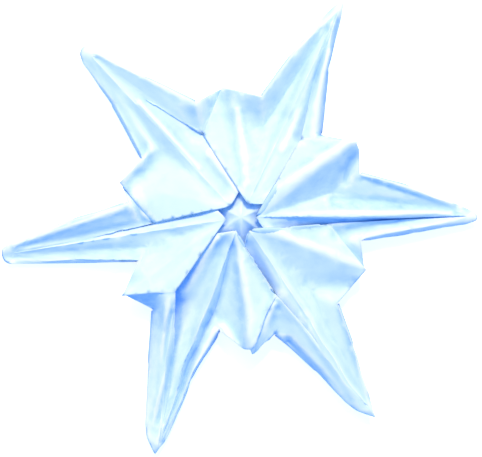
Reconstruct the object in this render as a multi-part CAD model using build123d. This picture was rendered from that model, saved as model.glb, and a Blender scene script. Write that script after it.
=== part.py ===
from build123d import *
import os
from math import cos, radians, sin

import numpy as np

# Folded paper snowflake: one sheet of paper, pleated into six long arms with six short points
# between them, turning like a pinwheel about a tiny star that is sunk in the middle.
# Frame: the snowflake lies on its back with its front up. +Z is the front, +X runs along the
# arm on the right and +Y is the top of the front view. The origin is on the surface that the
# back rests on, under the middle of the tiny star. Millimetres.

# The paper
PAPER = 0.2  # thickness of the sheet
LONGEST_MITRE = 4.0  # how far a sharp fold's corner may stand out, in half thicknesses
THINNEST = 0.5  # the least thickness beside such a corner, as a share of the sheet's
MITRE_ATTEMPTS = 40

# Reaches from the middle, in plan
ARM_REACH = 70.0  # tip of a long arm
POINT_REACH = 39.0  # tip of a short point
FLAP_REACH = 27.0  # corner of the flap that laps over the next arm
NOTCH_REACH = 34.7  # bottom of the notch on the counter-clockwise side of an arm
BACK_NOTCH_REACH = 34.7  # the same on the clockwise side, where the last flap covers the arm
KNEE_REACH = 28.8  # where the valleys beside the main ridge meet
WAIST_REACH = 50.0  # where the sides of an arm bend
GROOVE_REACH = 45.0  # where the hidden valley comes out from under the side ridge
COLLAR_REACH = 4.5  # inner corner of a module, at the edge of the sunk star
STAR_POINT_REACH = 10.2  # tip of the sunk star, hidden under a flap
STAR_VALLEY_REACH = 7.0  # inner corner of the sunk star, hidden under a module
HEM_REACH = 33.0  # inner corner of the margins folded behind an arm
SLIT_REACH = 64.0  # outer end of the slit where those margins meet

# Heights above the surface that the back rests on
COLLAR_HEIGHT = 11.0
ARM_HEIGHT = 4.6
POINT_HEIGHT = 7.0
FLAP_HEIGHT = 8.0
NOTCH_HEIGHT = 6.5
BACK_NOTCH_HEIGHT = 6.0
WAIST_HEIGHT = 5.8
KNEE_HEIGHT = 4.4
PLEAT_HEIGHT = 3.6
STAR_HEIGHT = 9.4  # middle of the sunk star
STAR_TOP_HEIGHT = 9.0  # upper end of the pleat beside the tip of the sunk star
STAR_TIP_HEIGHT = 7.8
STAR_VALLEY_HEIGHT = 5.6  # inner corners of the sunk star, deep under the collar
HEM_HEIGHT = 0.1

# How far each corner stands above its usual height, arm by arm, as this one was folded
LIFTS = {
    "tip": (-0.3, -0.8, -0.3, -0.5, 0.2, 0.3),
    "knee": (-0.9, -0.1, 1.4, 1.0, -1.0, 0.1),
    "notch": (-0.5, 1.0, -0.1, 0.0, -0.5, -0.3),
    "point": (1.6, -1.8, -0.8, 0.9, 1.3, 0.4),
    "flap": (-0.4, -0.8, -0.3, 2.2, 0.5, -1.3),
    "waist left": (0.3, 0.5, -1.3, -0.9, -0.1, -0.1),
    "waist right": (0.5, -0.3, 0.8, 1.7, -0.3, -0.5),
    "pleat": (-0.2, 2.8, 2.2, 0.5, -0.2, 0.4),
    "groove": (-0.9, 0.9, 2.3, 1.2, -0.6, 2.2),
    "star top": (0.2, 0.0, 0.0, 0.0, 0.0, 0.0),
    "back notch": (0.6, 0.4, 1.6, 2.0, -1.2, -0.4),
}

# Widths
BAND_WIDTH = 1.2  # how far the side of an arm bellies out beyond its crest, in plan, at most
BAND_DROP = 2.6  # how far it turns down there
BAND_START = 0.7  # from the rim of the short point or flap out to where the turned-down side starts
NOTCH_BAND_WIDTH = 0.6  # how far it bellies out there
WAIST_WIDTH = 6.5  # from the main ridge to the side of an arm, at the waist
TIP_WIDTH = 2.4  # from the main ridge to a corner of the blunt end
TIP_SETBACK = 2.5  # from the very end back to such a corner
TIP_INSET = 2.4  # from the very end back to where the crests meet
TIP_DROP = 1.4  # from there down to the blunt end
PLEAT_DEPTH = 4.4  # how far the paper is tucked back under the corner of a flap
PLEAT_INSET = 2.0  # how far that tuck ends short of the flap's rim
GROOVE_DEPTH = 2.3  # the deepest that the groove gets under the side ridge
STRIP_DROP = 2.5  # turned-down strip under the rim of a flap, at the short point
STRIP_OUTSET = 0.5  # how far that strip shows past the rim
SLIT_WIDTH = 0.8  # between the two margins behind an arm

STAR_POINT_BEARING = 21.5  # degrees from an arm to the tip of the sunk star under its flap
GROOVE_STEEPNESS = 1.0  # its depth under the side ridge for each unit between the two ridges


class Module:
    """One arm with its short point and flap, as folded by hand."""

    def __init__(
        self, arm, knee, notch, back_notch, point, flap, waist, tip_left, tip_right, band, groove
    ):
        # A bearing from +X in degrees and a share of the reach named above
        self.arm = arm
        self.knee = knee
        self.notch = notch
        self.back_notch = back_notch
        self.point = point
        self.flap = flap
        # Shares of the waist width, left and right of the main ridge
        self.waist = waist
        # Shares of the tip setback and the tip width
        self.tip_left = tip_left
        self.tip_right = tip_right
        # Shares of the band width, left and right of the main ridge
        self.band = band
        # Place of the groove between the main ridge, 0, and the side ridge, 1
        self.groove = groove


MODULES = (
    Module(
        arm=(0.2, 0.99), knee=(15.6, 0.95), notch=(20.5, 1.06), back_notch=(-11.3, 1.02),
        point=(32.7, 1.04), flap=(52.0, 1.07),
        waist=(1.37, 0.75), tip_left=(1.1, 0.95), tip_right=(0.5, 0.85),
        band=(0.35, 1.0), groove=0.6,
    ),
    Module(
        arm=(64.8, 0.99), knee=(76.2, 0.94), notch=(81.0, 1.02), back_notch=(45.7, 0.96),
        point=(98.3, 0.98), flap=(114.3, 0.99),
        waist=(1.05, 0.73), tip_left=(1.2, 1.00), tip_right=(0.4, 0.45),
        band=(0.5, 0.8), groove=0.6,
    ),
    Module(
        arm=(133.0, 0.97), knee=(139.8, 1.05), notch=(150.1, 0.96), back_notch=(111.0, 1.03),
        point=(163.9, 0.94), flap=(183.3, 0.95),
        waist=(0.80, 1.09), tip_left=(0.7, 1.15), tip_right=(0.6, 0.85),
        band=(0.8, 0.4), groove=0.6,
    ),
    Module(
        arm=(189.0, 1.01), knee=(198.0, 0.96), notch=(203.6, 0.94), back_notch=(172.4, 0.95),
        point=(213.5, 1.06), flap=(228.3, 1.07),
        waist=(0.88, 1.05), tip_left=(0.4, 1.15), tip_right=(0.3, 1.10),
        band=(1.0, 0.35), groove=0.35,
    ),
    Module(
        arm=(250.1, 1.05), knee=(254.6, 0.98), notch=(259.9, 0.95), back_notch=(226.0, 1.07),
        point=(271.7, 0.98), flap=(293.9, 0.93),
        waist=(0.51, 1.66), tip_left=(1.4, 0.55), tip_right=(2.0, 2.00),
        band=(0.5, 0.4), groove=0.6,
    ),
    Module(
        arm=(303.8, 1.00), knee=(313.6, 0.98), notch=(318.8, 1.08), back_notch=(285.7, 0.99),
        point=(337.0, 1.01), flap=(354.9, 0.96),
        waist=(1.00, 1.02), tip_left=(1.4, 0.65), tip_right=(2.2, 1.60),
        band=(0.4, 1.1), groove=0.6,
    ),
)
COUNT = len(MODULES)


def polar(bearing, reach, height):
    return Vector(reach * cos(radians(bearing)), reach * sin(radians(bearing)), height)


def step(start, end, distance):
    """A level step of that length from the start towards the end."""
    return Vector(end.X - start.X, end.Y - start.Y, 0).normalized() * distance


def at_height(place, height):
    return Vector(place.X, place.Y, height)


def lifted(height, corner, k):
    return height + LIFTS[corner][k]


def arm_points(points, k):
    """The main ridge, sides and tip of an arm, and the star's corners beside its inner end."""
    module = MODULES[k]
    bearing, share = module.arm
    reach = ARM_REACH * share
    along = polar(bearing, 1, 0)
    left = polar(bearing + 90, 1, 0)

    def place(distance, sideways, height):
        return along * distance + left * sideways + Vector(0, 0, height)

    points["collar", k] = place(COLLAR_REACH, 0, COLLAR_HEIGHT)
    points["star valley", k] = place(STAR_VALLEY_REACH, 0, STAR_VALLEY_HEIGHT)
    star_top_height = lifted(STAR_TOP_HEIGHT, "star top", k)
    points["star top", k] = polar(bearing + STAR_POINT_BEARING, STAR_POINT_REACH, star_top_height)
    points["star tip", k] = at_height(points["star top", k], STAR_TIP_HEIGHT)
    tip_height = lifted(ARM_HEIGHT, "tip", k)
    points["tip", k] = place(reach - TIP_INSET, 0, tip_height)
    points["end", k] = place(reach, 0, tip_height - TIP_DROP)
    points["slit", k] = place(SLIT_REACH * share, 0, HEM_HEIGHT)
    for side, sign, corner in (("left", 1, module.tip_left), ("right", -1, module.tip_right)):
        half = WAIST_WIDTH * module.waist[0 if side == "left" else 1]
        band = BAND_WIDTH * module.band[0 if side == "left" else 1]
        setback, width = TIP_SETBACK * corner[0], TIP_WIDTH * corner[1]
        crest = lifted(WAIST_HEIGHT, "waist " + side, k)
        points["tip " + side, k] = place(reach - setback, sign * width, tip_height - TIP_DROP)
        points["waist " + side, k] = place(WAIST_REACH, sign * (half - band), crest)
        points["side " + side, k] = place(WAIST_REACH, sign * half, crest - BAND_DROP)
        points["hem " + side, k] = place(HEM_REACH, sign * SLIT_WIDTH / 2, HEM_HEIGHT)


def short_point_points(points, k):
    """The knee, the notch, the short point and the corner of the flap."""
    module = MODULES[k]
    point_height = lifted(POINT_HEIGHT, "point", k)
    notch_height = lifted(NOTCH_HEIGHT, "notch", k)
    knee_height = lifted(KNEE_HEIGHT, "knee", k)
    point = polar(module.point[0], POINT_REACH * module.point[1], point_height)
    flap = polar(module.flap[0], FLAP_REACH * module.flap[1], lifted(FLAP_HEIGHT, "flap", k))
    side = polar(module.notch[0], NOTCH_REACH * module.notch[1], notch_height - BAND_DROP)
    points["point", k] = point
    points["flap", k] = flap
    points["knee", k] = polar(module.knee[0], KNEE_REACH * module.knee[1], knee_height)
    points["band left", k] = side + polar(module.arm[0], BAND_START, 0)
    points["notch", k] = at_height(side + step(point, side, NOTCH_BAND_WIDTH), notch_height)
    outward = step(flap, point, STRIP_OUTSET).rotate(Axis.Z, -90)
    points["strip", k] = at_height(point + outward, point_height - STRIP_DROP)


def lapped_points(points, k):
    """What lies under the flap of the module before: the tuck, the groove and the back notch."""
    module = MODULES[k]
    last = (k - 1) % COUNT
    flap, point = points["flap", last], points["point", last]
    tuck = flap + step(flap, point, PLEAT_DEPTH) - polar(MODULES[last].flap[0], PLEAT_INSET, 0)
    points["pleat", k] = at_height(tuck, lifted(PLEAT_HEIGHT, "pleat", k))
    crest = lifted(BACK_NOTCH_HEIGHT, "back notch", k)
    side = polar(module.back_notch[0], BACK_NOTCH_REACH * module.back_notch[1], crest - BAND_DROP)
    points["band right", k] = side + polar(module.arm[0], BAND_START, 0)
    points["back notch", k] = at_height(side + step(point, side, NOTCH_BAND_WIDTH), crest)
    along = polar(module.arm[0], 1, 0)
    main_ridge = along * GROOVE_REACH
    tip = points["tip", k]
    share = (GROOVE_REACH - flap.dot(along)) / (tip.dot(along) - flap.dot(along))
    side_ridge = flap + (tip - flap) * share
    between = at_height(side_ridge - main_ridge, 0)
    depth = min(GROOVE_DEPTH, GROOVE_STEEPNESS * between.length)
    bottom = lifted(side_ridge.Z - depth, "groove", k)
    points["groove", k] = at_height(main_ridge + between * MODULES[k].groove, bottom)


def crease_points():
    """Every corner of the folded sheet, by name and module number."""
    points = {"middle": Vector(0, 0, STAR_HEIGHT)}
    for work in (arm_points, short_point_points, lapped_points):
        for k in range(COUNT):
            work(points, k)
    return points


def module_facets(k):
    """The facets of one module, each counter-clockwise as seen from the front of the paper."""
    last = (k - 1) % COUNT
    arm_front = [
        [("collar", k), ("tip", k), ("knee", k)],
        [("knee", k), ("tip", k), ("waist left", k)],
        [("knee", k), ("waist left", k), ("notch", k)],
        [("collar", k), ("pleat", k), ("groove", k)],
        [("collar", k), ("groove", k), ("tip", k)],
        [("collar", k), ("star top", last), ("pleat", k)],
    ]
    short_point = [
        [("collar", k), ("knee", k), ("point", k)],
        [("knee", k), ("notch", k), ("point", k)],
        [("collar", k), ("point", k), ("flap", k)],
        [("strip", k), ("flap", k), ("point", k)],
    ]
    tuck_under_last_flap = [
        [("star top", last), ("collar", last), ("flap", last)],
        [("star top", last), ("flap", last), ("pleat", k)],
        [("pleat", k), ("flap", last), ("groove", k)],
        [("groove", k), ("flap", last), ("tip", k)],
    ]
    arm_side = [
        [("tip", k), ("flap", last), ("waist right", k)],
        [("waist right", k), ("flap", last), ("back notch", k)],
        [("back notch", k), ("flap", last), ("strip", last)],
    ]
    turned_down_sides = [
        [("notch", k), ("waist left", k), ("side left", k)],
        [("notch", k), ("side left", k), ("band left", k)],
        [("waist left", k), ("tip", k), ("tip left", k)],
        [("waist left", k), ("tip left", k), ("side left", k)],
        [("tip", k), ("end", k), ("tip left", k)],
        [("tip", k), ("tip right", k), ("end", k)],
        [("tip", k), ("waist right", k), ("tip right", k)],
        [("waist right", k), ("side right", k), ("tip right", k)],
        [("waist right", k), ("back notch", k), ("side right", k)],
        [("back notch", k), ("band right", k), ("side right", k)],
    ]
    margins_behind = [
        [("band left", k), ("side left", k), ("hem left", k)],
        [("side left", k), ("slit", k), ("hem left", k)],
        [("side left", k), ("tip left", k), ("slit", k)],
        [("tip left", k), ("end", k), ("slit", k)],
        [("end", k), ("tip right", k), ("slit", k)],
        [("tip right", k), ("side right", k), ("slit", k)],
        [("side right", k), ("hem right", k), ("slit", k)],
        [("side right", k), ("band right", k), ("hem right", k)],
    ]
    step_to_star = [
        [("star top", last), ("collar", k), ("star tip", last)],
        [("star tip", last), ("collar", k), ("star valley", k)],
        [("star valley", k), ("collar", k), ("star tip", k)],
        [("star tip", k), ("collar", k), ("star top", k)],
    ]
    sunk_star = [
        ["middle", ("star valley", k), ("star tip", k)],
        ["middle", ("star tip", last), ("star valley", k)],
    ]
    return (
        arm_front + short_point + tuck_under_last_flap + arm_side
        + turned_down_sides + margins_behind + step_to_star + sunk_star
    )


def facet_normal(corners):
    a, b, c = corners
    return (b - a).cross(c - a).normalized()


def mitre(normals):
    """The move of a corner that moves each facet round it out by one, as nearly as can be."""
    weights = np.ones(len(normals))
    for attempt in range(MITRE_ATTEMPTS):
        move = np.linalg.lstsq(normals * weights[:, None], weights, rcond=1e-3)[0]
        move *= min(1.0, LONGEST_MITRE / np.linalg.norm(move))
        thin = normals @ move < THINNEST
        if not thin.any():
            break
        weights[thin] *= 1.5
    return move


def corner_offsets(points, facets):
    """How far each corner moves when the paper gets a thickness, in half thicknesses."""
    normals = {name: [] for name in points}
    for facet in facets:
        normal = facet_normal([points[name] for name in facet])
        for name in facet:
            normals[name].append(tuple(normal))
    return {name: Vector(*mitre(np.array(rows))) for name, rows in normals.items()}


def raw_edges(facets):
    """The edges with a facet on one side only, which are where the paper was cut."""
    directed = set()
    for facet in facets:
        for start, end in zip(facet, facet[1:] + facet[:1]):
            directed.add((start, end))
    return [(start, end) for start, end in directed if (end, start) not in directed]


def triangle(a, b, c):
    return Face(Wire.make_polygon([a, b, c], close=True))


def thick_sheet(points, facets):
    """One closed solid: the front faces, the back faces and the cut edge between them."""
    offsets = corner_offsets(points, facets)
    front = {name: place + offsets[name] * (PAPER / 2) for name, place in points.items()}
    back = {name: place - offsets[name] * (PAPER / 2) for name, place in points.items()}
    faces = []
    for a, b, c in facets:
        faces.append(triangle(front[a], front[b], front[c]))
        faces.append(triangle(back[a], back[c], back[b]))
    for start, end in sorted(raw_edges(facets), key=str):
        faces.append(triangle(front[end], front[start], back[start]))
        faces.append(triangle(front[end], back[start], back[end]))
    return Solid(Shell(faces))


def snowflake():
    points = crease_points()
    facets = []
    for k in range(COUNT):
        facets += module_facets(k)
    sheet = thick_sheet(points, facets)
    return sheet.moved(Location((0, 0, -sheet.bounding_box().min.Z)))


os.makedirs("parts", exist_ok=True)
sheet = snowflake()
export_step(sheet, "parts/folded_snowflake.step")
print("solid is valid:", sheet.is_valid, "volume", round(sheet.volume, 1), "mm3")
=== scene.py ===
# %% [markdown]
# # A folded paper snowflake
# One sheet of pale icy-blue paper was pleated into six arms and laid on its back. The CAD model
# already holds every fold. Here the same sheet gets what its flat facets can't have: folds rounded
# by the springy paper, panels that bow, a colour with fibres in it, a soft light and a camera.
# The first cell loads the CAD model as a fixed frame. All lengths in Blender are metres.

# %% Load the frame
from math import cos, degrees, exp, pi, radians, sin

import bmesh
import bpy
import numpy as np
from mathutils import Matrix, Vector, kdtree, noise
from mathutils.bvhtree import BVHTree


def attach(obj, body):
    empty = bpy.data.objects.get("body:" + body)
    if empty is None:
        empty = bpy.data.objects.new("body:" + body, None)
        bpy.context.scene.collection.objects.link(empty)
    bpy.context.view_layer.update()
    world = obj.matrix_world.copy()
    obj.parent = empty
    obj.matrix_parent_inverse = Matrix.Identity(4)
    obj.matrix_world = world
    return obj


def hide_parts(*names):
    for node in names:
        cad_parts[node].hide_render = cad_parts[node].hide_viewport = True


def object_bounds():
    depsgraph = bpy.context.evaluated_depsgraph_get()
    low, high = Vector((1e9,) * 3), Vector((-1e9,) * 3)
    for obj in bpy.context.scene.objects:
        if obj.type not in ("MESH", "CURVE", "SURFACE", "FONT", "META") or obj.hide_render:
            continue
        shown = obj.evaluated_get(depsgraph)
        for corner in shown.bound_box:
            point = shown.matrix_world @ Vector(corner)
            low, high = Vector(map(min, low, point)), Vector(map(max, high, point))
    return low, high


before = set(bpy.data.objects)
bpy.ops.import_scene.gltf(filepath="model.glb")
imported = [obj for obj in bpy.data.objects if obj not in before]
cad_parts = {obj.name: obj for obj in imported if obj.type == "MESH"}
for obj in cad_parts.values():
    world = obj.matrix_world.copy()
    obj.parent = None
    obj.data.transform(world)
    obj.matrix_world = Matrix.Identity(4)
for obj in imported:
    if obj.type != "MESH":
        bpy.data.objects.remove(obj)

MM = 0.001
SHEET_NODE = "folded_snowflake"
cad_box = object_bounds()
print("CAD box in mm:", [[round(x / MM, 1) for x in corner] for corner in cad_box])

# %% [markdown]
# ## The front of the sheet
# The CAD solid is the paper with both its faces and the thin strip round its cut edge. Bending
# paper is easier on one layer, so a merged copy of the solid loses that strip, which are the only
# faces with an edge as short as the paper is thick, and then everything that isn't joined to its
# highest point, which is on the front. The thickness comes back at the end.

# %% Copy the CAD solid and keep its front
SAME_CORNER = 0.01 * MM
SHORTEST_PANEL_EDGE = 1.0 * MM


def joined_to(vertex):
    """Every vertex that edges lead to from this one."""
    found, edge_of_it = {vertex}, [vertex]
    while edge_of_it:
        nearby = {e.other_vert(v) for v in edge_of_it for e in v.link_edges} - found
        found |= nearby
        edge_of_it = list(nearby)
    return found


def front_of_sheet(node):
    bm = bmesh.new()
    bm.from_mesh(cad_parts[node].data)
    bmesh.ops.remove_doubles(bm, verts=bm.verts, dist=SAME_CORNER)
    strip = [f for f in bm.faces if min(e.calc_length() for e in f.edges) < SHORTEST_PANEL_EDGE]
    bmesh.ops.delete(bm, geom=strip, context="FACES")
    front = joined_to(max(bm.verts, key=lambda v: v.co.z))
    bmesh.ops.delete(bm, geom=[v for v in bm.verts if v not in front], context="VERTS")
    return bm


bm = front_of_sheet(SHEET_NODE)
print("panels:", len(bm.faces), "corners:", len(bm.verts))

# %% [markdown]
# ## Folds
# A hand-pressed fold in thin paper is a narrow bend: sharp where the panels close on each other,
# open and soft where they are nearly flat. A bevel would give every fold the same radius and
# tangles where many folds meet. A Subdivision Surface rounds every edge, and an edge's crease value
# holds it back, so each fold gets a crease value from its own angle. Cutting the long edges in two
# first, a few times over, keeps the rounding close to the folds. Only panels with nothing above
# them are in sight: a ray straight up from them meets no other layer. They are cut fine, and the
# hidden ones stay coarse.

# %% Crease the folds and round them
SOFT_FOLD, SHARP_FOLD = radians(50), radians(120)
LONGEST_SEEN, LONGEST_HIDDEN = 5.05 * MM, 18.0 * MM
MOST_CUTS = 6
UP, CLEARANCE = Vector((0, 0, 1)), 0.05 * MM
LEAST_UPWARD = 0.05  # upward share of the normal of a face that counts as facing up
TOWARDS_CORNER = 0.8  # share of the way from a face's middle to its corner

crease = bm.edges.layers.float.new("crease_edge")
for edge in bm.edges:
    if len(edge.link_faces) == 2:
        share = (edge.calc_face_angle() - SOFT_FOLD) / (SHARP_FOLD - SOFT_FOLD)
        edge[crease] = max(0.0, min(1.0, share))

layers = BVHTree.FromBMesh(bm)


def in_sight(face):
    """Whether any of a few spots on a face that faces up has nothing above it."""
    if face.normal.z < LEAST_UPWARD:
        return False
    middle = face.calc_center_median()
    spots = [middle] + [middle.lerp(v.co, TOWARDS_CORNER) for v in face.verts]
    return any(layers.ray_cast(spot + UP * CLEARANCE, UP)[0] is None for spot in spots)


def too_long(edge, seen):
    either = any(face in seen for face in edge.link_faces)
    return edge.calc_length() > (LONGEST_SEEN if either else LONGEST_HIDDEN)


for _ in range(MOST_CUTS):
    seen = {f for f in bm.faces if in_sight(f)}
    long_edges = [e for e in bm.edges if too_long(e, seen)]
    bmesh.ops.subdivide_edges(bm, edges=long_edges, cuts=1)
    bmesh.ops.triangulate(bm, faces=[f for f in bm.faces if len(f.verts) > 3])
    bm.normal_update()
print("panels cut into", len(bm.faces), "pieces")


def to_object(bm, name):
    mesh = bpy.data.meshes.new(name)
    bm.to_mesh(mesh)
    bm.free()
    obj = bpy.data.objects.new(name, mesh)
    bpy.context.scene.collection.objects.link(obj)
    return obj


def apply_modifiers(obj):
    """Give the object the mesh that its modifiers make."""
    finished = obj.evaluated_get(bpy.context.evaluated_depsgraph_get())
    mesh = bpy.data.meshes.new_from_object(finished)
    obj.modifiers.clear()
    obj.data = mesh


sheet = to_object(bm, "paper_sheet")
rounding = sheet.modifiers.new("rounded_folds", "SUBSURF")
rounding.levels = rounding.render_levels = 2
rounding.boundary_smooth = "PRESERVE_CORNERS"
rounding.use_limit_surface = False
apply_modifiers(sheet)
print("faces after rounding:", len(sheet.data.polygons))

# %% [markdown]
# ## Springy paper
# Paper springs back from a fold that was only pressed with a finger, so the open folds end up wider
# than the closed ones. A cloth simulation could open them too, but it wasn't tried, because the
# star has to keep its form. Smoothing moves each vertex halfway to the mean of its neighbours. A
# few rounds of it widen the open folds; the vertices on closed folds are left out, and stay sharp.

# %% Let the open folds spring back
CLOSED_FOLD = radians(35)
NEARLY_FLAT = 3  # degrees of bend at a vertex that is taken for a ridge and for a valley
RIDGE_ROUNDS, VALLEY_ROUNDS = 3, 20

bm = bmesh.new()
bm.from_mesh(sheet.data)


def sharpest_fold(vertex):
    return max((e.calc_face_angle(0) for e in vertex.link_edges), default=0)


def is_open(vertex):
    return sharpest_fold(vertex) < CLOSED_FOLD and not vertex.is_boundary


def bend_of(vertex):
    """The signed sum of the folds that meet at a vertex, in degrees: a ridge is positive."""
    return sum(degrees(e.calc_face_angle_signed(0)) for e in vertex.link_edges)


def smooth(verts, rounds):
    """Move the vertices halfway to the mean of their neighbours, this many times."""
    axes = {"use_axis_x": True, "use_axis_y": True, "use_axis_z": True}
    for _ in range(rounds):
        bmesh.ops.smooth_vert(bm, verts=verts, factor=0.5, **axes)


for name, side, rounds in (("ridges", 1, RIDGE_ROUNDS), ("valleys", -1, VALLEY_ROUNDS)):
    opened = [v for v in bm.verts if is_open(v) and side * bend_of(v) > -NEARLY_FLAT]
    smooth(opened, rounds)
    print("vertices on panels and open", name + ":", len(opened))

# %% [markdown]
# ## Worn folds and pulled paper
# Fingers and a desk wear the points of such a star round and its long ridges soft, and arranging
# the arms pulls parts of the paper a few millimetres sideways. Smoothing every layer beside a line
# wears what lies there. A pull moves all layers alike in the plan view and fades out with distance
# as a Gaussian does. Each row of wear has a start, an end, a reach and a number of rounds, and
# wears a round spot where its start is its end. Each pull has a middle, a reach and a way to go.
# Lengths are in mm.

# %% Wear the folds and pull the paper
WEAR = (
    # Short points
    ((34.4, 22.3), (34.4, 22.3), 2.4, 3),
    ((-4.9, 37.2), (-4.9, 37.2), 2.0, 1),
    ((1.2, -37.4), (1.2, -37.4), 6.5, 24),
    # Ridges of the arms at the upper left, the left and the lower right
    ((-43.2, 46.4), (-4.7, 4.4), 1.3, 4),
    ((-62.0, -9.6), (-28.5, -4.4), 1.5, 14),
    ((4.4, -5.5), (37.0, -53.0), 1.5, 5),
)
PULLS = (
    ((2.6, -37.0), 6.8, (1.2, -3.3)),
    ((-10.5, -32.0), 6.0, (-0.6, 0.0)),
    ((-15.0, -43.0), 6.0, (-1.2, 0.0)),
    ((24.0, -37.0), 6.0, (-0.6, 0.0)),
    ((31.0, -48.0), 5.5, (-0.9, 0.0)),
)
SHORTEST_RUN = 1e-9  # square mm, so that a round spot's run of nothing divides nothing by zero


def beside(places, start, end):
    """How far each place is from start to end, as a share, and its distance from that line."""
    start, run = np.array(start), np.subtract(end, start)
    along = np.clip((places[:, :2] - start) @ run / max(run @ run, SHORTEST_RUN), 0, 1)
    return along, np.linalg.norm(places[:, :2] - start - along[:, None] * run, axis=1)


places = np.array([v.co for v in bm.verts]) / MM
for start, end, reach, rounds in WEAR:
    away = beside(places, start, end)[1]
    worn = [v for v, distance in zip(bm.verts, away) if distance < reach]
    smooth(worn, rounds)
    print("vertices worn from", start, "to", end, "mm:", len(worn))
for vertex in bm.verts:
    place = vertex.co.xy / MM
    for middle, reach, way in PULLS:
        share = exp(-((place - Vector(middle)).length / reach) ** 2)
        vertex.co.xy += Vector(way) * share * MM

# %% [markdown]
# ## Pressed by hand
# The folder's fingers left the panels with narrow ridges and hollows of their own, most of them
# running out along an arm. A sculpting brush would make them one by one, and a table of presses is
# the same thing in code. A capsule is the simplest shape for a press: a line with a start and an
# end, a width and a height at each, and a smooth Gaussian fall to its sides. Each row of the table
# is one press, in mm in the plan view: start, end, widths and heights. The rows weren't chosen by
# a maker: another program started from creases placed by eye and fitted their numbers to the light
# and shade of the photograph, and only six of the 102 rows were set by hand after that. The layers
# under a press move with it, and a tanh eases the deepest presses and the highest ridges to keep
# them in the CAD box. It doesn't keep the layers apart: in the finished sheet, some layers cut
# through each other. The margins on the table stay where they are.

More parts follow.
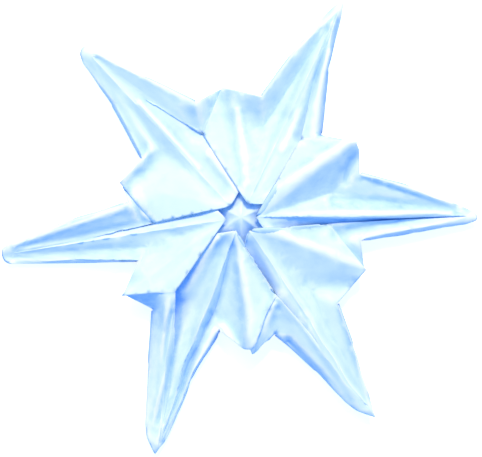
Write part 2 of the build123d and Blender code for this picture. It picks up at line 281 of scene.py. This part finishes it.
# %% Press the ridges and hollows
PRESSES = (
    # The arm at the right and its short point
    ((-0.5, 0.3), (0.6, -0.3), (4.6, 4.6), (1.10, 1.10)),
    ((5.1, 3.8), (32.2, 22.4), (1.7, 1.5), (1.50, 1.50)),
    ((7.2, 0.2), (30.0, -0.8), (0.8, 0.8), (-0.37, -0.47)),
    ((17.4, 1.4), (61.1, 1.1), (0.8, 0.9), (0.06, 1.27)),
    ((17.4, -5.2), (25.0, -2.8), (2.3, 1.3), (-0.73, -0.59)),
    ((16.8, 18.0), (28.5, 16.7), (0.8, 1.9), (0.01, 0.35)),
    ((27.2, 4.7), (61.3, 3.0), (1.7, 1.3), (-2.20, -0.45)),
    ((27.7, -4.8), (61.1, -0.3), (1.9, 0.8), (-2.20, 0.26)),
    ((27.9, 8.6), (33.6, 17.8), (2.0, 1.4), (-0.40, -0.91)),
    ((31.5, -3.7), (65.0, 1.4), (1.2, 2.0), (-1.32, -1.15)),
    ((30.2, 10.3), (32.1, 16.4), (0.8, 1.5), (-1.00, -0.90)),
    ((35.2, 10.8), (62.0, 2.8), (1.2, 1.2), (-0.39, -1.41)),
    ((36.0, 10.3), (57.2, 3.9), (0.9, 0.8), (0.26, 0.54)),
    ((35.2, 12.8), (61.4, 3.5), (0.8, 0.8), (0.80, 0.70)),
    ((37.7, -5.9), (67.5, -2.5), (1.1, 0.8), (-0.47, -0.70)),
    # The arm at the upper right and its short point
    ((3.9, 7.5), (12.2, 29.0), (0.8, 2.3), (-0.35, -2.02)),
    ((-1.8, 8.4), (-8.5, 18.4), (0.8, 2.1), (0.26, 1.50)),
    ((-0.4, 9.5), (-5.9, 32.8), (1.0, 2.6), (-0.57, -1.44)),
    ((-3.2, 10.2), (-8.1, 35.5), (5.7, 2.6), (-0.49, -0.98)),
    ((1.7, 10.7), (-1.0, 31.2), (2.3, 0.8), (0.53, 0.83)),
    ((-2.2, 10.6), (-8.5, 32.3), (1.2, 1.3), (-0.15, -0.14)),
    ((0.4, 10.9), (-6.7, 37.1), (1.0, 1.5), (-0.47, -1.19)),
    ((-1.1, 11.5), (-3.9, 35.4), (0.9, 1.2), (0.16, -0.53)),
    ((0.6, 15.0), (-2.5, 35.0), (1.2, 1.0), (-0.37, -0.01)),
    ((12.1, 19.8), (27.5, 57.2), (1.4, 0.8), (0.48, 0.50)),
    ((5.8, 27.2), (1.2, 34.5), (5.9, 6.0), (-1.13, 1.50)),
    ((-11.5, 26.6), (-13.4, 33.3), (6.0, 6.0), (-1.11, 0.50)),
    ((17.2, 23.6), (25.6, 54.2), (1.7, 0.8), (-1.21, -0.45)),
    ((21.3, 24.1), (26.6, 56.1), (1.5, 0.8), (0.95, 1.04)),
    ((-12.0, 30.6), (-13.6, 30.5), (2.4, 2.5), (0.35, -0.39)),
    ((23.1, 24.3), (24.8, 41.6), (0.8, 0.8), (-1.67, -0.90)),
    ((20.3, 27.5), (25.5, 47.7), (1.8, 0.8), (0.46, 1.50)),
    ((12.7, 32.9), (22.9, 54.9), (3.3, 0.8), (-1.52, -0.64)),
    ((-12.5, 33.2), (-15.1, 33.5), (1.2, 1.5), (0.87, 0.45)),
    ((23.6, 38.2), (28.2, 57.0), (0.8, 0.8), (0.11, -0.92)),
    # The arm at the upper left and its short point
    ((-6.8, 8.3), (-42.4, 50.2), (3.1, 3.0), (-2.20, 1.50)),
    ((-12.1, 14.3), (-29.6, 33.3), (0.8, 0.8), (0.74, 0.71)),
    ((-4.4, 20.2), (-26.3, 15.6), (6.0, 6.0), (-0.78, -1.34)),
    ((-25.8, -2.0), (-29.7, 8.2), (1.6, 1.1), (0.20, 0.20)),
    ((-12.6, 24.8), (-17.1, 32.9), (2.2, 1.6), (-1.56, 0.55)),
    ((-28.3, -2.0), (-32.8, 7.8), (0.8, 0.8), (-1.53, -0.57)),
    ((-11.1, 26.3), (-38.8, 47.9), (6.0, 2.2), (0.64, 1.50)),
    ((-26.3, 18.4), (-32.8, 12.4), (1.8, 2.3), (1.02, 1.44)),
    ((-26.5, 19.2), (-34.6, 9.9), (0.9, 0.9), (0.80, 0.80)),
    ((-29.1, 15.6), (-34.6, 12.2), (1.9, 0.8), (1.50, 0.68)),
    ((-26.0, 20.4), (-40.0, 42.2), (1.5, 1.4), (0.93, 0.14)),
    ((-12.3, 33.2), (-41.9, 46.5), (2.7, 0.9), (1.50, -0.58)),
    ((-32.6, 17.5), (-42.4, 39.6), (1.4, 0.8), (0.09, 0.30)),
    ((-16.3, 34.3), (-41.3, 47.7), (0.9, 0.9), (0.80, 0.90)),
    # The arm at the left and its short point
    ((-3.1, -3.7), (-34.1, -11.6), (1.3, 4.2), (0.83, -0.18)),
    ((-6.9, -6.4), (-22.4, -24.4), (1.0, 5.0), (1.47, 1.42)),
    ((-12.1, -10.6), (-16.3, -27.5), (2.0, 3.5), (1.50, -0.82)),
    ((-20.5, -3.7), (-65.8, -9.4), (1.8, 0.8), (-1.24, 0.99)),
    ((-26.7, -1.4), (-66.1, -9.4), (1.1, 0.9), (-1.42, -0.48)),
    ((-28.8, -1.8), (-32.9, 4.2), (2.4, 1.5), (-0.53, 1.37)),
    ((-30.0, -4.8), (-60.6, -9.9), (0.8, 0.8), (-0.28, -0.58)),
    ((-30.4, 4.9), (-65.3, -9.6), (3.4, 1.2), (1.50, -1.58)),
    ((-29.5, -13.8), (-35.2, -17.1), (5.3, 1.1), (1.50, 0.17)),
    ((-23.6, -22.4), (-36.0, -22.6), (3.2, 4.1), (1.36, 0.58)),
    ((-32.3, -4.8), (-69.3, -12.1), (6.0, 2.0), (-1.90, -1.55)),
    ((-21.6, -24.8), (-23.0, -33.1), (2.4, 2.4), (0.16, -0.17)),
    ((-31.9, -11.2), (-66.7, -11.3), (2.5, 0.8), (-1.65, -1.80)),
    ((-34.6, 2.3), (-66.0, -8.4), (0.8, 0.8), (0.60, 0.60)),
    ((-35.8, -12.8), (-65.0, -13.5), (0.8, 0.8), (1.50, -1.19)),
    # The arm at the lower left and its short point
    ((-2.4, -7.3), (-7.7, -27.2), (0.8, 0.9), (-0.11, 0.72)),
    ((2.2, -9.0), (10.8, -26.8), (2.6, 0.9), (-0.86, -0.56)),
    ((-2.5, -9.1), (0.5, -32.2), (1.1, 1.7), (-0.81, -0.76)),
    ((-4.6, -8.3), (-0.5, -38.3), (2.7, 2.4), (-1.25, -1.15)),
    ((-6.3, -9.8), (-11.5, -24.0), (1.8, 3.8), (-0.85, -1.97)),
    ((-1.4, -12.2), (5.2, -37.4), (0.8, 4.1), (0.15, 1.47)),
    ((-6.0, -11.7), (-22.3, -59.7), (1.5, 0.8), (-0.94, -0.89)),
    ((2.4, -13.2), (7.5, -23.7), (1.6, 2.0), (-0.47, -0.39)),
    ((6.6, -24.5), (5.5, -33.4), (0.8, 5.7), (0.16, 1.19)),
    ((9.7, -25.4), (5.0, -36.5), (0.8, 1.5), (1.07, 1.21)),
    ((-9.2, -27.7), (-23.2, -65.5), (0.8, 0.8), (-0.81, -1.43)),
    ((-16.7, -24.8), (-23.7, -58.6), (0.8, 0.8), (-0.50, -1.22)),
    ((-12.6, -27.3), (-24.5, -61.9), (1.8, 2.4), (-1.05, -0.83)),
    ((-5.0, -29.7), (-10.9, -32.0), (2.6, 1.1), (-0.55, -0.75)),
    ((-17.7, -25.8), (-23.1, -52.5), (2.9, 1.9), (-2.06, 0.30)),
    ((-21.2, -23.2), (-24.0, -52.8), (0.8, 0.8), (1.50, -0.14)),
    ((-5.3, -31.7), (-1.3, -36.8), (1.3, 1.4), (0.77, 0.89)),
    ((-7.8, -32.9), (-21.6, -59.4), (0.8, 1.6), (0.65, 0.99)),
    ((-6.2, -33.3), (-20.9, -58.5), (0.9, 0.8), (-1.00, 0.29)),
    ((-19.6, -28.1), (-24.7, -49.8), (1.0, 1.0), (-1.53, -0.20)),
    ((-28.3, -33.4), (-26.8, -67.5), (4.1, 2.1), (-1.90, 1.50)),
    ((-21.2, -38.9), (-26.1, -58.5), (0.8, 0.9), (-0.28, -0.22)),
    ((-21.8, -50.2), (-24.0, -59.8), (0.8, 1.1), (-0.78, -0.90)),
    # The arm at the lower right and its short point
    ((3.8, -6.1), (17.5, -26.8), (0.8, 1.1), (-0.23, -0.67)),
    ((7.2, -3.5), (33.7, -12.4), (1.4, 2.2), (1.50, 0.25)),
    ((21.8, -2.9), (35.9, -12.2), (5.9, 1.0), (-1.01, -0.74)),
    ((13.3, -21.0), (13.0, -21.6), (1.9, 1.9), (0.26, 0.22)),
    ((11.2, -22.3), (27.1, -45.3), (1.3, 1.4), (0.33, -0.03)),
    ((10.8, -24.7), (16.5, -31.3), (3.2, 0.9), (1.02, -0.22)),
    ((19.2, -19.2), (33.1, -20.8), (2.0, 4.0), (-0.21, -1.01)),
    ((10.6, -26.1), (11.1, -27.2), (1.6, 2.0), (-0.19, -0.05)),
    ((24.5, -21.0), (33.3, -19.2), (3.0, 1.4), (-0.54, -0.90)),
    ((23.8, -23.3), (36.2, -52.7), (4.4, 3.2), (0.90, -1.05)),
    ((18.2, -28.0), (35.5, -54.9), (0.8, 1.4), (-0.39, -0.38)),
    ((18.0, -32.9), (32.1, -52.9), (1.6, 1.1), (-0.44, -0.36)),
    ((13.6, -35.9), (29.3, -51.1), (0.8, 0.8), (-1.87, 0.08)),
    ((20.5, -33.1), (36.9, -58.2), (1.7, 1.9), (0.39, 0.67)),
    ((29.1, -26.3), (37.0, -50.7), (0.8, 0.8), (0.75, 0.88)),
)
RESTING_MARGIN = 2.4  # mm of height over which the presses die out towards the table
DEEPEST_PRESS = 2.2
EASED_FROM, HIGHEST = 9.8, 10.95


def off_the_table(heights):
    """0 up to half the resting margin above the table, and 1 from one and a half margins up."""
    return np.clip(heights / RESTING_MARGIN - 0.5, 0, 1)


def pressed(places):
    """How far the presses lift each place, in mm."""
    lift = np.zeros(len(places))
    for start, end, widths, heights in PRESSES:
        along, away = beside(places, start, end)
        width = widths[0] + (widths[1] - widths[0]) * along
        height = heights[0] + (heights[1] - heights[0]) * along
        lift += height * np.exp(-(away / width) ** 2)
    lift = DEEPEST_PRESS * np.tanh(lift / DEEPEST_PRESS)
    return lift * off_the_table(places[:, 2])


def eased(heights):
    """Heights in mm, kept under the highest allowed without an edge."""
    room = HIGHEST - EASED_FROM
    above = np.maximum(0, heights - EASED_FROM)
    return np.minimum(heights, EASED_FROM) + room * np.tanh(above / room)


places = np.array([v.co for v in bm.verts]) / MM
lifts = pressed(places)
for vertex, height in zip(bm.verts, eased(places[:, 2] + lifts)):
    vertex.co.z = height * MM
print("presses:", len(PRESSES), "from", round(lifts.min(), 2), "to", round(lifts.max(), 2), "mm")

# %% [markdown]
# ## Handled paper
# A sheet that was folded by hand is never quite flat between its folds. Wide shallow waves and
# small dents show as soft changes of light. A bump in the material could fake them from above, but
# not in the outline or in another program. So smooth 3D noise moves each vertex along its normal,
# with the same values on every run. The margins behind the arms stay as they are, because the
# snowflake rests on them.

# %% Wave the panels
WAVE_SIZE, WAVE_HEIGHT = 14 * MM, 0.28 * MM
DENT_SIZE, DENT_HEIGHT = 5 * MM, 0.07 * MM
ELSEWHERE = Vector((7, 3, 1))  # takes the dents from another part of the noise than the waves


def handled(place):
    wave = noise.noise(place / WAVE_SIZE) * WAVE_HEIGHT
    dent = noise.noise(place / DENT_SIZE + ELSEWHERE) * DENT_HEIGHT
    return wave + dent


bm.normal_update()
shares = off_the_table(np.array([v.co.z for v in bm.verts]) / MM).tolist()
moves = [v.normal * handled(v.co) * share for v, share in zip(bm.verts, shares)]
for vertex, move in zip(bm.verts, moves):
    vertex.co += move
    vertex.co.z = min(vertex.co.z, cad_box[1][2])
print("largest wave in mm:", round(max(m.length for m in moves) / MM, 2))

# %% [markdown]
# ## Fold lines and hollows
# The material paints light and shade from the shape of the sheet: a painted highlight, paler, along
# ridges; painted shade, bluer, in valleys; and deeper painted shade in hollows, standing in for
# light that bounces from blue paper to blue paper there. Two vertex attributes tell the material
# which is
# which: the signed bend of the folds at a vertex, and how far it lies below its surroundings. A
# fold pressed shut counts as hardly bent, so its rim gets almost none of the painted highlight.
# To find the surroundings fast, every fifth vertex goes into a k-d tree at its place in plan.

# %% Measure the bend and the hollow at each vertex
FULL_BEND, SHUT = 60, 100  # degrees of bend at a vertex on a full ridge, and on a shut fold
RIM_BEND = 0.1
BLUR_ROUNDS = 2
SAMPLE_STEP = 5
AROUND = 2.3 * MM
DEEPEST = 1.6 * MM

samples = [vertex.co.copy() for vertex in bm.verts][::SAMPLE_STEP]
heights = kdtree.KDTree(len(samples))
for number, place in enumerate(samples):
    heights.insert((place.x, place.y, 0), number)
heights.balance()
# The hollow drives the painted shade in hollows.
hollow = bm.verts.layers.float.new("hollow")
for vertex in bm.verts:
    near = heights.find_range((vertex.co.x, vertex.co.y, 0), AROUND)
    above = [max(0.0, samples[i].z - vertex.co.z) for _, i, _ in near]
    vertex[hollow] = min(1.0, sum(above) / max(1, len(above)) / DEEPEST)

bm.normal_update()
# The bend drives the painted highlight on ridges and the painted shade in valleys.
bend = bm.verts.layers.float.new("bend")
for vertex in bm.verts:
    total = bend_of(vertex)
    vertex[bend] = RIM_BEND if total > SHUT else max(-1.0, min(1.0, total / FULL_BEND))


def mean_beside(vertex):
    """The mean bend of a vertex's neighbours."""
    return sum(e.other_vert(vertex)[bend] for e in vertex.link_edges) / len(vertex.link_edges)


for _ in range(BLUR_ROUNDS):
    for vertex, value in zip(bm.verts, [mean_beside(v) for v in bm.verts]):
        vertex[bend] = (vertex[bend] + value) / 2
for name, layer in (("bend", bend), ("hollow", hollow)):
    values = [v[layer] for v in bm.verts]
    print(name, "from", round(min(values), 2), "to", round(max(values), 2))
bm.to_mesh(sheet.data)
bm.free()

# %% [markdown]
# ## Thickness
# Each cut edge shows how thick the paper is. Extruding the layer along one direction would make
# its steep sides too thin, and Solidify follows each vertex's own normal. It gives the layer the
# same 0.2 mm as the CAD sheet, and its offset of -1 puts all of it behind the front, so that the
# front stays where the CAD has it.

# %% Give the paper its thickness
PAPER_THICKNESS = 0.2 * MM
thickness = sheet.modifiers.new("thickness", "SOLIDIFY")
thickness.thickness = PAPER_THICKNESS
thickness.offset = -1
apply_modifiers(sheet)
sheet.data.shade_smooth()
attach(sheet, "root")
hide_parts(SHEET_NODE)
print("triangles:", sum(len(p.vertices) - 2 for p in sheet.data.polygons))

# %% [markdown]
# ## Icy-blue craft paper
# Light craft paper, about 160 grams per square metre, dyed through and calendered: matt, with a
# fine felt of fibres and a faint cloudiness where they bunched. The eye gets a soft pale blue that
# has no gloss. Over it the material paints light and shade: painted shade, a little bluer, in the
# valleys, deeper painted shade in the hollows, and a painted highlight, paler, along the ridges.
# Each is a colour mixed over the last by an attribute of the sheet. Real fibres are about 0.03 mm
# wide, too fine to show, so the grain is drawn at 0.5 mm.

# %% Make the paper material
CLOUD_SIZE, GRAIN_SIZE, FELT_DEPTH = 4 * MM, 0.5 * MM, 0.05 * MM


def linear(colour):
    """An sRGB hex value as linear red, green, blue and alpha."""
    parts = [int(colour[i:i + 2], 16) / 255 for i in (1, 3, 5)]
    return [x / 12.92 if x <= 0.04045 else ((x + 0.055) / 1.055) ** 2.4 for x in parts] + [1.0]


def add_node(tree, kind, settings=None, **links):
    """A node with its settings, and its sockets set to a value or linked from another socket.

    A socket goes by its name, with _ for a space, or by i and its number.
    """
    node = tree.nodes.new(kind)
    for name, value in (settings or {}).items():
        setattr(node, name, value)
    for name, value in links.items():
        place = int(name[1:]) if name[1:].isdigit() else name.replace("_", " ")
        socket = node.inputs[place]
        if isinstance(value, bpy.types.NodeSocket):
            tree.links.new(value, socket)
        else:
            socket.default_value = value
    return node


def new_material(name):
    material = bpy.data.materials.new(name)
    material.use_nodes = True
    material.node_tree.nodes.clear()
    return material, material.node_tree


paper, tree = new_material("icy_blue_craft_paper")
place = add_node(tree, "ShaderNodeTexCoord").outputs["Object"]
clouds = add_node(
    tree, "ShaderNodeTexNoise", Vector=place, Scale=1 / CLOUD_SIZE, Detail=3.0, Roughness=0.6,
)
fibres = add_node(
    tree, "ShaderNodeTexNoise", Vector=place, Scale=1 / GRAIN_SIZE, Detail=4.0, Roughness=0.7,
)
bent = add_node(tree, "ShaderNodeAttribute", {"attribute_name": "bend"})
cloudy = add_node(
    tree, "ShaderNodeMix", {"data_type": "RGBA"},
    Factor=clouds.outputs[0], i6=linear("#D8EDFC"), i7=linear("#E4F5FE"),
)
# Painted highlight: along ridges the colour is mixed towards near-white.
ridge = add_node(
    tree, "ShaderNodeMapRange",
    Value=bent.outputs["Fac"], From_Min=0.05, From_Max=0.5, To_Max=0.85,
)
ridge_highlighted = add_node(
    tree, "ShaderNodeMix", {"data_type": "RGBA"},
    Factor=ridge.outputs[0], i6=cloudy.outputs[2], i7=linear("#FBFDFF"),
)
# Painted shade: in valleys the colour is mixed towards a deeper blue.
valley = add_node(
    tree, "ShaderNodeMapRange",
    Value=bent.outputs["Fac"], From_Min=-0.05, From_Max=-0.6, To_Max=0.55,
)
valley_shaded = add_node(
    tree, "ShaderNodeMix", {"data_type": "RGBA"},
    Factor=valley.outputs[0], i6=ridge_highlighted.outputs[2], i7=linear("#AFD6FC"),
)
# Painted shade: in hollows the colour is mixed towards a deeper blue still.
hollows = add_node(tree, "ShaderNodeAttribute", {"attribute_name": "hollow"})
depth = add_node(
    tree, "ShaderNodeMapRange",
    Value=hollows.outputs["Fac"], From_Min=0.1, From_Max=1.0, To_Max=0.75,
)
hollow_shaded = add_node(
    tree, "ShaderNodeMix", {"data_type": "RGBA"},
    Factor=depth.outputs[0], i6=valley_shaded.outputs[2], i7=linear("#8CC0FB"),
)
felt = add_node(
    tree, "ShaderNodeBump", Height=fibres.outputs[0], Strength=0.25, Distance=FELT_DEPTH,
)
surface = add_node(
    tree, "ShaderNodeBsdfPrincipled", Base_Color=hollow_shaded.outputs[2], Normal=felt.outputs[0],
    Roughness=0.85, IOR=1.5, Specular_IOR_Level=0.25,
)
add_node(tree, "ShaderNodeOutputMaterial", Surface=surface.outputs[0])
sheet.data.materials.clear()
sheet.data.materials.append(paper)
print("material nodes:", len(tree.nodes))

# %% [markdown]
# ## Floor
# The picture has a plain white ground. The floor is white and diffuse, so that it takes the
# snowflake's soft shadow, and gives off a little light where the camera looks straight at it,
# which lifts it to white without lighting the paper.

# %% Lay the white floor
FLOOR_SIZE = 4.0
FLOOR_DROP = 0.02 * MM  # keeps the floor clear of the paper that rests on it
FLOOR_GLOW = 0.75

bm = bmesh.new()
bmesh.ops.create_grid(bm, x_segments=1, y_segments=1, size=FLOOR_SIZE / 2)
floor = to_object(bm, "floor")
floor.location.z = -FLOOR_DROP
white, tree = new_material("white_card")
path = add_node(tree, "ShaderNodeLightPath")
looked_at = add_node(
    tree, "ShaderNodeMath", {"operation": "ADD"},
    i0=path.outputs["Is Camera Ray"], i1=path.outputs["Is Glossy Ray"],
)
looked_at = add_node(
    tree, "ShaderNodeMath", {"operation": "ADD", "use_clamp": True},
    i0=looked_at.outputs[0], i1=path.outputs["Is Transmission Ray"],
)
glow = add_node(
    tree, "ShaderNodeMath", {"operation": "MULTIPLY"}, i0=looked_at.outputs[0], i1=FLOOR_GLOW,
)
card = add_node(tree, "ShaderNodeBsdfDiffuse", Color=linear("#F2F4F7"))
gleam = add_node(tree, "ShaderNodeEmission", Color=linear("#FFFFFF"), Strength=glow.outputs[0])
both = add_node(tree, "ShaderNodeAddShader", i0=card.outputs[0], i1=gleam.outputs[0])
add_node(tree, "ShaderNodeOutputMaterial", Surface=both.outputs[0])
floor.data.materials.append(white)
print("floor:", FLOOR_SIZE, "m square")

# %% [markdown]
# ## Light
# The folds show because a broad soft light comes in low from the top of the picture, a little to
# the right, while a cool pale sky fills the shadows. A sun with a wide disc gives that light the
# same strength everywhere; its strength is pi times the share it adds to a facing white surface.
# A near lamp at the upper left adds a little more there than at the lower right. At a distance d an
# area light of power P adds P / (pi d)^2 to a facing white surface.

# %% Set up the light
KEY_BEARING, KEY_HEIGHT, KEY_SPREAD = radians(82), radians(48), radians(14)
KEY_SHARE = 0.93
LAMP_PLACE, LAMP_WIDTH, LAMP_SHARE = Vector((-0.10, 0.12, 0.20)), 0.12, 0.16
SKY_STRENGTH = 1.05


def hang(light, place):
    """Hang a light at a place, aimed at the middle of the snowflake."""
    lit = bpy.data.objects.new(light.name, light)
    lit.location = place
    lit.rotation_euler = place.to_track_quat("Z", "Y").to_euler()
    bpy.context.scene.collection.objects.link(lit)
    print(light.name, "at", [round(x, 2) for x in place], "m, energy", round(light.energy, 2))


window = bpy.data.lights.new("window", "SUN")
window.energy = pi * KEY_SHARE
window.color = linear("#FFE29E")[:3]
window.angle = KEY_SPREAD
level = cos(KEY_HEIGHT)
hang(window, Vector((cos(KEY_BEARING) * level, sin(KEY_BEARING) * level, sin(KEY_HEIGHT))))

lamp = bpy.data.lights.new("lamp", "AREA")
lamp.shape, lamp.size = "DISK", LAMP_WIDTH
lamp.energy = LAMP_SHARE * (pi * LAMP_PLACE.length) ** 2
lamp.color = linear("#FFF0D8")[:3]
hang(lamp, LAMP_PLACE)

sky = bpy.data.worlds.new("cool_sky")
bpy.context.scene.world = sky
sky.use_nodes = True
sky.node_tree.nodes.clear()
fill = add_node(
    sky.node_tree, "ShaderNodeBackground", Color=linear("#78B4FF"), Strength=SKY_STRENGTH,
)
add_node(sky.node_tree, "ShaderNodeOutputWorld", Surface=fill.outputs[0])

# %% [markdown]
# ## Camera
# The photograph looks straight down. A long lens from far above keeps the arms in proportion,
# as the photograph does, and at the snowflake's middle height the frame is as wide as the
# photograph's, 140.2 mm.

# %% Look straight down
FRAME_WIDTH = 140.23 * MM
CAMERA_HEIGHT = 1.5
MIDDLE_HEIGHT = 6 * MM
BELOW_MIDDLE = 3.35 * MM
SENSOR_WIDTH = 36  # mm, as a lens is given

camera = bpy.data.cameras.new("camera")
camera.sensor_width = SENSOR_WIDTH
camera.lens = SENSOR_WIDTH * (CAMERA_HEIGHT - MIDDLE_HEIGHT) / FRAME_WIDTH
eye = bpy.data.objects.new("camera", camera)
eye.location = (0, -BELOW_MIDDLE, CAMERA_HEIGHT)
bpy.context.scene.collection.objects.link(eye)
bpy.context.scene.camera = eye
bpy.context.scene.view_settings.view_transform = "Standard"
print("lens in mm:", round(camera.lens, 1))
